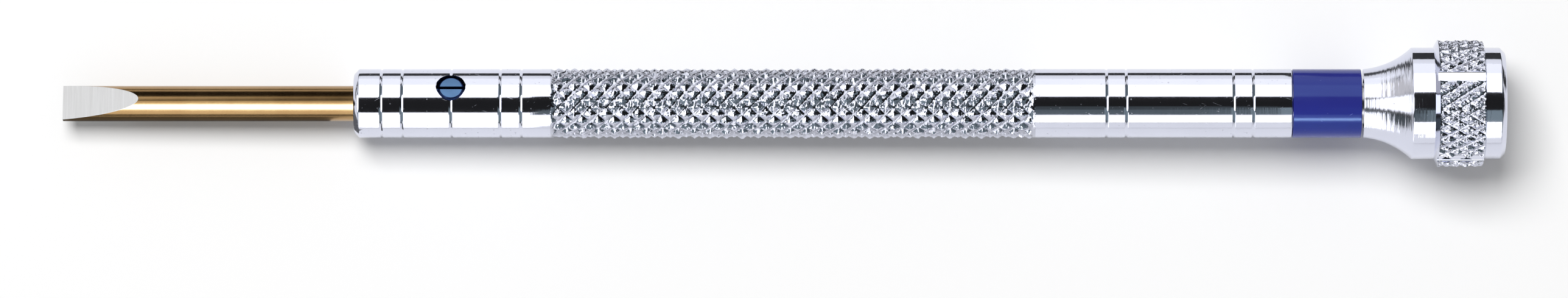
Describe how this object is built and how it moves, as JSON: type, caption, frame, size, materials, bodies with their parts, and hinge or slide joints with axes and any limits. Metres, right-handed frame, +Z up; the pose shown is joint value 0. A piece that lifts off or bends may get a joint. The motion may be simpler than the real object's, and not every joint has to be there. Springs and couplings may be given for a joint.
{
  "type": "watchmaker screwdriver",
  "caption": "Slim chromed watchmaker's screwdriver with knurled grip, clamped flat blade, blue colour ring and swivelling anti-roll head.",
  "frame": {"origin": "centre of the blade's square tip end face, on the tool's axis", "axes": "+X along the tool's axis from the blade's tip to the head, +Z up as the tool lies, +Y to the tool's left seen from the tip"},
  "size_m": [0.1021, 0.009, 0.009],
  "materials": {
    "chrome": "polished, turned",
    "blade_steel": "tempered straw-brown, ground tip",
    "blued_steel": "blued",
    "blue_plastic": "gloss",
    "steel": "turned",
    "bearing_steel": "ground and polished",
    "cage_steel": "stamped"
  },
  "bodies": {
    "handle": {"barrel": "chrome", "colour_ring": "blue_plastic", "pivot_screw": "steel", "spacer_sleeve": "steel", "bearing_inner_ring": "bearing_steel"},
    "blade": {"blade": "blade_steel"},
    "clamp_screw": {"clamp_screw": "blued_steel"},
    "ball_set": {"bearing_cage": "cage_steel", "bearing_ball_1": "bearing_steel", "bearing_ball_2": "bearing_steel", "bearing_ball_3": "bearing_steel", "bearing_ball_4": "bearing_steel", "bearing_ball_5": "bearing_steel", "bearing_ball_6": "bearing_steel", "bearing_ball_7": "bearing_steel"},
    "head": {"head_shell": "chrome", "head_end_cap": "chrome", "bearing_outer_ring": "bearing_steel", "bearing_shield_front": "steel", "bearing_shield_rear": "steel"}
  },
  "joints": [
    {"name": "head_spin", "type": "hinge", "parent": "handle", "child": "head", "pos_m": [0.09733, 0, 0], "axis": [1, 0, 0], "continuous": true},
    {"name": "ball_set_orbit", "type": "hinge", "parent": "handle", "child": "ball_set", "pos_m": [0.09733, 0, 0], "axis": [1, 0, 0], "continuous": true},
    {"name": "clamp_screw_turn", "type": "hinge", "parent": "handle", "child": "clamp_screw", "pos_m": [0.02757, 0, 0], "axis": [0, 0.5, 0.866], "range_deg": [0, 720]},
    {"name": "blade_slide", "type": "slide", "parent": "handle", "child": "blade", "axis": [-1, 0, 0], "range_m": [0, 0.0125]}
  ],
  "couplings": [
    {"joint": "ball_set_orbit", "follows": "head_spin", "ratio": 0.614}
  ]
}
